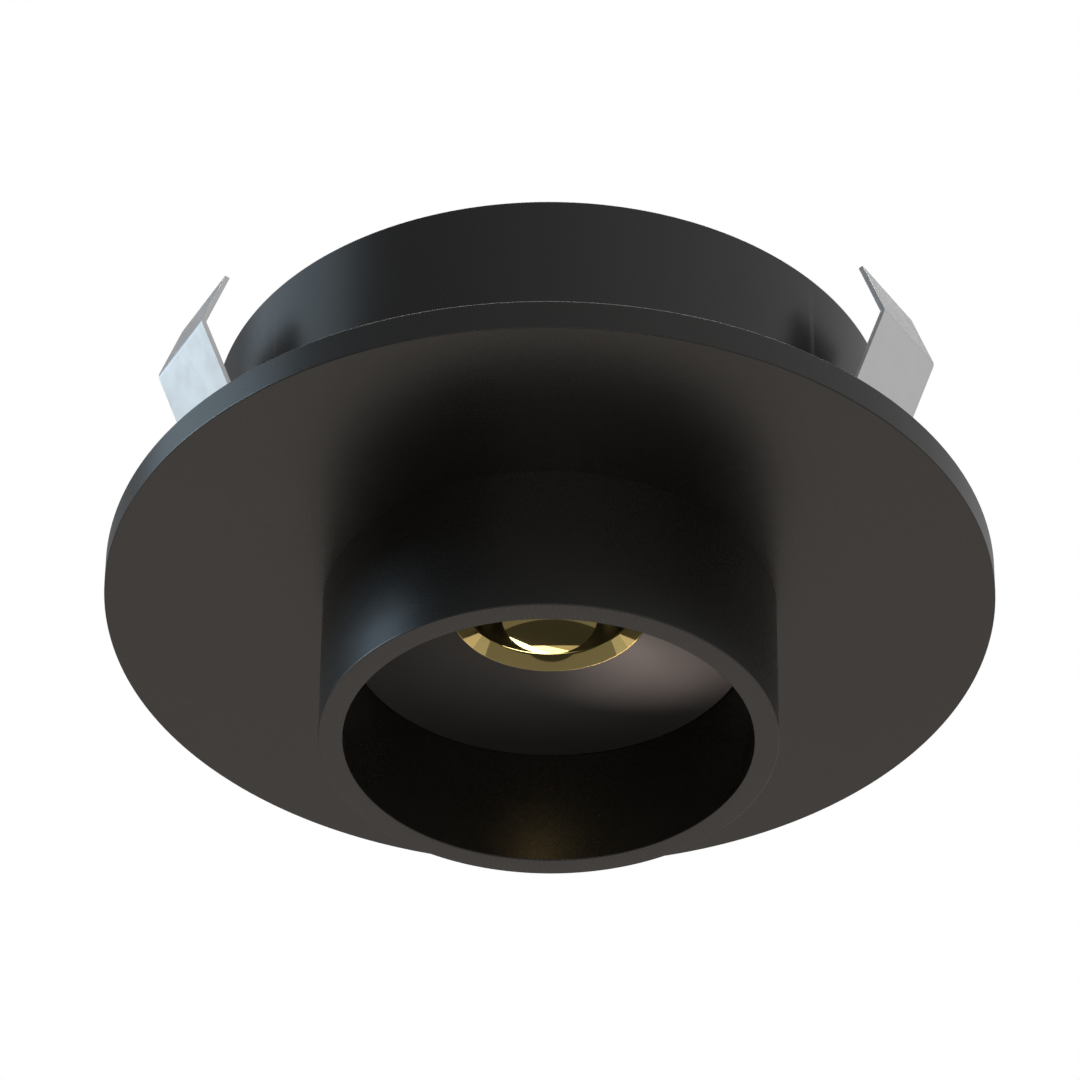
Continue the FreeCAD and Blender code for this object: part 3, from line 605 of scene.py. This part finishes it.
def makeCover():
    c = cover
    piece = lathe("rear_plate", [
        (c["hole"], c["low"]), (c["outer"], c["low"]), (c["outer"], c["high"]),
        *[(r, c["high"]) for r in c["rings"]], (c["hole"], c["high"])], steps=200)
    roundRings(piece, [(c["outer"], c["high"]), (c["hole"], c["high"])], c["edge"])
    for degrees in clipAngles.values():
        x, y = onCircle(can["bossPlace"], degrees)
        hole = drum("hole", c["screwHole"], c["low"] - clear, c["high"] + clear, x, y, 40)
        booleanWith(piece, hole, "DIFFERENCE")
    dress(smoothed(piece, flatFaces=True), canCoat, stands=["rear_cover"])


makeCover()

gland = {
    "flats": 15.0, "hexLow": 24.15, "hexHigh": 29.15, "neckTop": 34.65, "neck": 5.8, "thread": 6.0,
    "threadLow": 17.8, "passage": 3.6, "seat": 4.8, "seatLow": 29.15, "capLow": 29.65, "capHigh": 39.25,
    "crownLow": 35.41, "crown": 6.9, "crownEdge": 3.0, "insertTop": 36.15, "insertMouth": 3.82,
    "neckPlay": 0.02, "neckHeadroom": 0.2,
}


def nutHexagon(name, flats, low, high):  # hexagon bar with its upper corners turned off
    corner = flats / math.sqrt(3)
    bar = drum(name, corner, low, high, sides=6)
    bar.data.transform(turnZ(30))
    drop = (corner - flats / 2) * math.tan(math.radians(30))
    turned = lathe("turned", [
        (0, low - clear), (corner + 1, low - clear), (corner + 1, high - drop - 0.58), (corner, high - drop),
        (flats / 2, high), (0, high)], steps=96, closed=False)
    booleanWith(bar, turned, "INTERSECT")
    return bar


def makeGlandBody():
    g = gland
    body = nutHexagon("gland_base", g["flats"], g["hexLow"], g["hexHigh"])
    booleanWith(body, drum("neck", g["neck"], g["hexHigh"] - bite, g["neckTop"]), "UNION")
    booleanWith(body, drum("thread", g["thread"], g["threadLow"], g["hexLow"] + bite), "UNION")
    booleanWith(body, drum("passage", g["passage"], g["threadLow"] - clear, g["neckTop"] + clear), "DIFFERENCE")
    booleanWith(body, drum("seat", g["seat"], g["seatLow"], g["neckTop"] + clear), "DIFFERENCE")
    dress(smoothed(body), blackNylon, stands=["gland_body"])


def makeGlandCap():
    g = gland
    cap = nutHexagon("gland_dome_nut", g["flats"], g["capLow"], g["crownLow"])
    crown = lathe("crown", [
        (0, g["crownLow"] - clear), (g["crown"], g["crownLow"] - clear), (g["crown"], g["capHigh"]),
        (0, g["capHigh"])], steps=96, closed=False)
    roundRings(crown, [(g["crown"], g["capHigh"])], g["crownEdge"], 8)
    booleanWith(cap, crown, "UNION")
    inner = g["neck"] + g["neckPlay"]
    insertTop = g["insertTop"] + g["neckPlay"]
    inside = lathe("inside", [
        (0, g["capLow"] - clear), (inner, g["capLow"] - clear), (inner, g["neckTop"] + g["neckHeadroom"]),
        (g["insertMouth"], insertTop), (0, insertTop)], steps=96, closed=False)
    booleanWith(cap, inside, "DIFFERENCE")
    booleanWith(cap, drum("passage", g["passage"], g["capLow"] - clear, g["capHigh"] + clear), "DIFFERENCE")
    dress(smoothed(cap), blackNylon, stands=["gland_cap"])


makeGlandBody()
makeGlandCap()
print("cover and gland made")


# spring clips: one bent strip each, screwed to the can at one end and free at the other

clip = {
    "strip": 0.6, "width": 11.5, "seat": 38.9, "rootRadius": 0.8, "rootHeight": 2.35, "footTop": 10.45,
    "footMiddle": 7.45, "bendR": 47.9, "bendZ": 15.5, "bendRadius": 0.4, "setback": 2.7, "rise": 7.7,
    "footCorner": 2.0, "screwHeight": 7.93, "screwHole": 1.7, "edge": 0.07,
    "rootSteps": 14, "bendSteps": 5, "flexFrom": 39.6, "flexTo": 41.3,
}


def clipLine():  # middle line of the strip in the radial plane, from the foot's top to the free tip
    c = clip
    half = c["strip"] / 2
    centre = Vector((c["seat"] + c["rootRadius"] + c["strip"], 0, c["rootHeight"]))
    outerBend = Vector((c["bendR"], 0, c["bendZ"]))
    reach = outerBend - centre
    lean = math.atan2(reach.x, reach.z) - math.asin((c["rootRadius"] + c["strip"]) / reach.length)
    up = Vector((math.sin(lean), 0, math.cos(lean)))
    outward = Vector((math.cos(lean), 0, -math.sin(lean)))
    tipLine = Vector((-c["setback"], 0, c["rise"]))
    tipUp = tipLine.normalized()
    turn = up.angle(tipUp)
    tipInward = Vector((-tipUp.z, 0, tipUp.x))
    bend = outerBend - outward * half - up * half * math.tan(turn / 2)
    middle = c["rootRadius"] + half
    line = [Vector((centre.x - middle, 0, z)) for z in (c["footTop"], c["footMiddle"])]
    for i in range(c["rootSteps"] + 1):
        angle = math.pi + (math.pi - lean) * i / c["rootSteps"]
        line.append(centre + Vector((math.cos(angle), 0, math.sin(angle))) * middle)
    bendMiddle = c["bendRadius"] + half
    bendCentre = bend - up * bendMiddle * math.tan(turn / 2) - outward * bendMiddle
    for i in range(c["bendSteps"] + 1):
        angle = -lean + turn * i / c["bendSteps"]
        line.append(bendCentre + Vector((math.cos(angle), 0, math.sin(angle))) * bendMiddle)
    line.append(outerBend + tipUp * tipLine.length + tipInward * half)
    return line


def makeStrip():  # the model of one clip, on the X axis
    c = clip
    line = [point * mm for point in clipLine()]
    model = startPoint("strip", line[0] + Vector((0, -c["width"] / 2 * mm, 0)))
    bpy.ops.mesh.extrude_region_move(TRANSFORM_OT_translate={"value": (0, c["width"] * mm, 0)})
    bpy.ops.mesh.select_all(action="SELECT")
    extrudeAlong(line)
    bpy.ops.mesh.select_mode(type="VERT")  # the foot's two free corners are rounded while the strip is still flat
    bpy.ops.mesh.select_all(action="DESELECT")
    mesh = bmesh.from_edit_mesh(model.data)
    for vertex in mesh.verts:
        vertex.select_set(vertex.co.z > (c["footTop"] - 0.1) * mm and vertex.co.x < (c["seat"] + 1) * mm)
    bmesh.update_edit_mesh(model.data)
    bpy.ops.mesh.bevel(offset=c["footCorner"] * mm, segments=6, affect="VERTICES")
    onlySelected(model)
    bpy.ops.object.modifier_add(type="SOLIDIFY")
    thickness = model.modifiers[-1]
    thickness.thickness = c["strip"] * mm
    thickness.offset = 0
    thickness.use_even_offset = True
    bpy.ops.object.modifier_apply(modifier=thickness.name)
    hole = drum("hole", c["screwHole"], -3, 3, sides=40)
    place = Matrix.Translation((c["seat"] * mm, 0, c["screwHeight"] * mm))
    hole.data.transform(place @ Matrix.Rotation(math.pi / 2, 4, "Y"))
    booleanWith(model, hole, "DIFFERENCE")
    onlySelected(model)
    bpy.ops.object.modifier_add(type="BEVEL")
    edge = model.modifiers[-1]
    edge.width = c["edge"] * mm
    edge.segments = 2
    edge.limit_method = "ANGLE"
    edge.angle_limit = math.radians(50)
    bpy.ops.object.modifier_apply(modifier=edge.name)
    layer = model.data.uv_layers.new(name="strip")  # 10 mm to one unit, V along the strip
    for loop in model.data.loops:
        spot = model.data.vertices[loop.vertex_index].co / mm
        layer.data[loop.index].uv = (spot.y / 10, spot.z / 10)
    return smoothed(model, 30)


def makeClips():
    model = makeStrip()
    for number, degrees in clipAngles.items():
        piece = copyTurned(model, f"spring_clip_{number}", degrees)
        piece.data.materials.clear()
        piece.data.materials.append(springSteel)
        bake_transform(piece)
        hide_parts(f"clip_foot_{number}", f"clip_leaf_{number}")
    bpy.data.objects.remove(model)


makeClips()
print("clips made")


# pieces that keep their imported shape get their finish

keptFinishes = {
    "glass_seal": silicone, "led_emitter": phosphor, "led_board": boardFace, "thermal_pad": padGrey,
    "led_holder": whiteMoulding, "holder_screws": zincSteel, "housing_seal": silicone, "body_screws": zincSteel,
    "lead_grommets": blackRubber, "positive_lead": redSheath, "negative_lead": blackSheath,
    "terminal_block": greyMoulding, "terminal_barrels": brass, "terminal_screws": zincSteel,
    "terminal_fixing_screw": zincSteel, "cover_gasket": silicone, "gland_ring": blackRubber,
    "gland_lock_nut": blackNylon, "gland_insert": blackRubber,
}
for name, material in keptFinishes.items():
    for materialSlot in nodes[name].material_slots:
        materialSlot.material = material
print("finishes set on", len(keptFinishes), "kept nodes")


# floor, cards, light and camera

floor = {"height": -1.3, "size": 16.0, "colour": (0.95, 0.87, 0.80), "fleck": 1.03}


def makeFloor():
    nothingSelected()
    bpy.ops.mesh.primitive_circle_add(vertices=128, radius=floor["size"] / 2, fill_type="NGON",
                                      location=(0, 0, floor["height"]))
    piece = added("studio_floor")
    lighter = [min(1, value * floor["fleck"]) for value in floor["colour"]]
    piece.data.materials.append(grainMaterial("floorPaper", plainGrain(
        floor["colour"], lighter, 0.8, 0.9, 60.0, 400.0, 0.05, 0.2)))


cards = {
    "pale": {"at": (0, 0.20, -0.75), "size": (3.4, 0.20), "colour": (0.50, 0.485, 0.47)},
    "grey": {"at": (0, -0.0875, -0.75), "size": (3.4, 0.375), "colour": (0.19, 0.185, 0.18)},
    "black": {"at": (0, -0.5775, -0.75), "size": (3.4, 0.605), "colour": (0.025, 0.025, 0.025)},
}


def makeCards():  # under the fitting and out of the camera's sight, to keep its mouth dark
    for name, look in cards.items():
        nothingSelected()
        bpy.ops.mesh.primitive_plane_add(size=1, location=look["at"])
        bpy.context.object.scale = (*look["size"], 1)
        card = added(name + "_card")
        card.data.materials.append(grainMaterial(name + "Card", plainGrain(look["colour"], look["colour"], 0.8, 0.9)))
        card.visible_camera = False


sky = {"level": 0.365, "slope": 0.30, "tint": (1.0, 1.0, 1.0, 1)}  # slope: brighter towards +X


def makeSky():
    world = bpy.data.worlds.new("studio")
    bpy.context.scene.world = world
    world.use_nodes = True
    tree = world.node_tree
    tree.nodes.clear()
    direction = addNode(tree, "ShaderNodeTexCoord").outputs["Generated"]
    across = addNode(tree, "ShaderNodeSeparateXYZ", {"Vector": direction}).outputs["X"]
    level = math2(tree, "MULTIPLY_ADD", across, sky["slope"], sky["level"])
    lit = addNode(tree, "ShaderNodeBackground", {"Color": sky["tint"], "Strength": level})
    white = addNode(tree, "ShaderNodeBackground", {"Color": (1, 1, 1, 1), "Strength": 1.0})
    seen = addNode(tree, "ShaderNodeLightPath").outputs["Is Camera Ray"]
    both = addNode(tree, "ShaderNodeMixShader", {0: seen, 1: lit.outputs[0], 2: white.outputs[0]})
    addNode(tree, "ShaderNodeOutputWorld", {"Surface": both.outputs[0]})


lights = {  # only: the pieces that a light reaches, where it doesn't reach all of them
    "top": {"at": (0, 0.6, 2.9), "size": (2.2, 2.2), "radiance": 6.0, "colour": (1.0, 0.97, 0.93)},
    "left": {"at": (-1.77, 0.185, 1.05), "size": (1.5, 1.5), "radiance": 1.0, "colour": (0.68, 0.86, 1.0)},
    "leftLow": {"at": (-1.85, 0.25, 0.42), "size": (1.3, 0.75), "radiance": 1.1, "colour": (0.84, 0.95, 1.0)},
    "front": {"at": (0.33, -0.97, -0.73), "size": (2.3, 0.22), "radiance": 2.9, "colour": (1.0, 0.95, 0.86)},
    "warm": {"at": (-0.40, 0.66, -1.10), "size": (0.5, 0.5), "radiance": 8.0, "colour": (1.0, 0.80, 0.72),
             "only": ["baffle_cone", "gold_reflector"]},
    "snootSide": {"at": (-1.20, -0.16, 0.42), "size": (0.6, 0.4), "radiance": 12.0, "colour": (0.60, 0.82, 1.0),
                  "only": ["trim_bezel_shell"]},
    "bowlStrip": {"at": (0.62, -0.80, -0.70), "size": (2.0, 0.10), "radiance": 9.0, "colour": (1.0, 0.97, 0.93),
                  "only": ["gold_reflector"]},
}


def makeLights():
    for name, look in lights.items():
        nothingSelected()
        bpy.ops.object.light_add(type="AREA", location=look["at"])
        lamp = bpy.context.object
        lamp.name = name
        lamp.data.shape = "RECTANGLE"
        lamp.data.size, lamp.data.size_y = look["size"]
        lamp.data.energy = look["radiance"] * math.pi * look["size"][0] * look["size"][1]
        lamp.data.color = look["colour"]
        lamp.rotation_euler = Vector(look["at"]).to_track_quat("Z", "Y").to_euler()
        lamp.visible_camera = False
        if "only" in look:
            lit = bpy.data.collections.new("lit_by_" + name)
            for piece in look["only"]:
                lit.objects.link(bpy.data.objects[piece])
            lamp.light_linking.receiver_collection = lit


view = {"at": (0.020253, -0.552329, -0.4211), "turned": (127.67528, -0.43564, 1.88551), "lens": 201.268}


def makeCamera():
    nothingSelected()
    bpy.ops.object.camera_add(location=view["at"], rotation=[math.radians(angle) for angle in view["turned"]])
    camera = bpy.context.object
    camera.data.sensor_width = 36
    camera.data.lens = view["lens"]
    camera.data.clip_end = 50
    bpy.context.scene.camera = camera
    bpy.context.scene.view_settings.view_transform = "Standard"


makeFloor()
makeCards()
makeSky()
makeLights()
makeCamera()
print("studio made")
